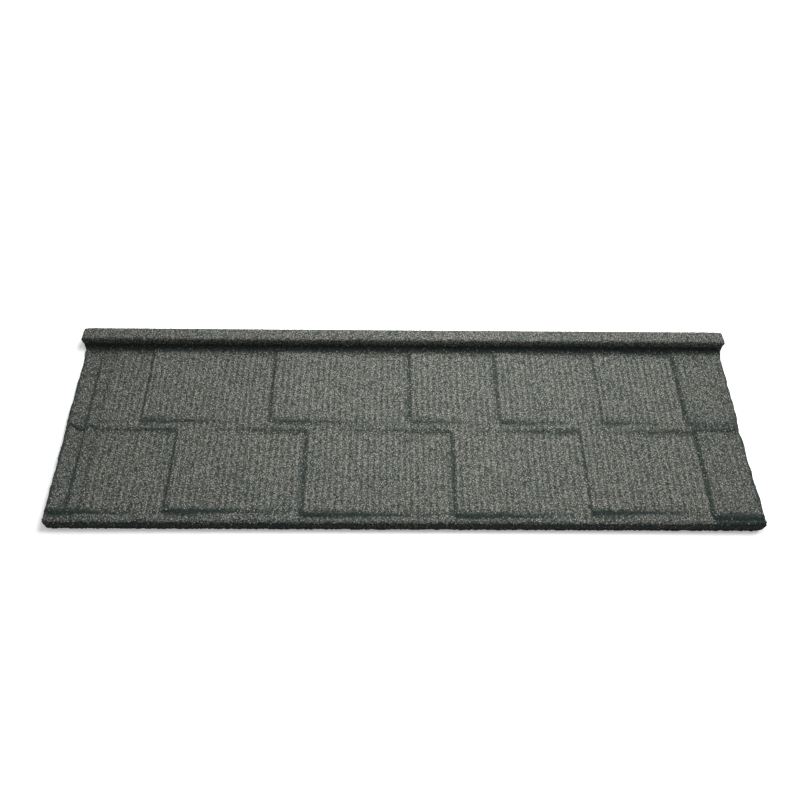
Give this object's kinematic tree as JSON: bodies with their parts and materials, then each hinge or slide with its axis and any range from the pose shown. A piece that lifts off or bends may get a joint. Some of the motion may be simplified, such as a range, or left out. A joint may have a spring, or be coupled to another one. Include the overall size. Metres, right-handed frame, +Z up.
{
  "type": "stone coated steel roofing sheet",
  "caption": "Pressed steel roofing sheet in a stepped shingle pattern with a stone chip coat, a turned-down nose at the front and a rounded batten bead at the back.",
  "frame": {"origin": "centre of the bounding box at the floor, under the sheet as it lies", "axes": "+X along the eave from the underlap to the overlap, +Y up the roof from the nose to the bead, +Z up"},
  "size_m": [1.3434, 0.4233, 0.0386],
  "materials": {
    "stone_chip_coat": "rough stone chip coat on pressed zinc-aluminium coated steel"
  },
  "bodies": {
    "root": {"roofing_sheet": "stone_chip_coat"}
  },
  "joints": []
}
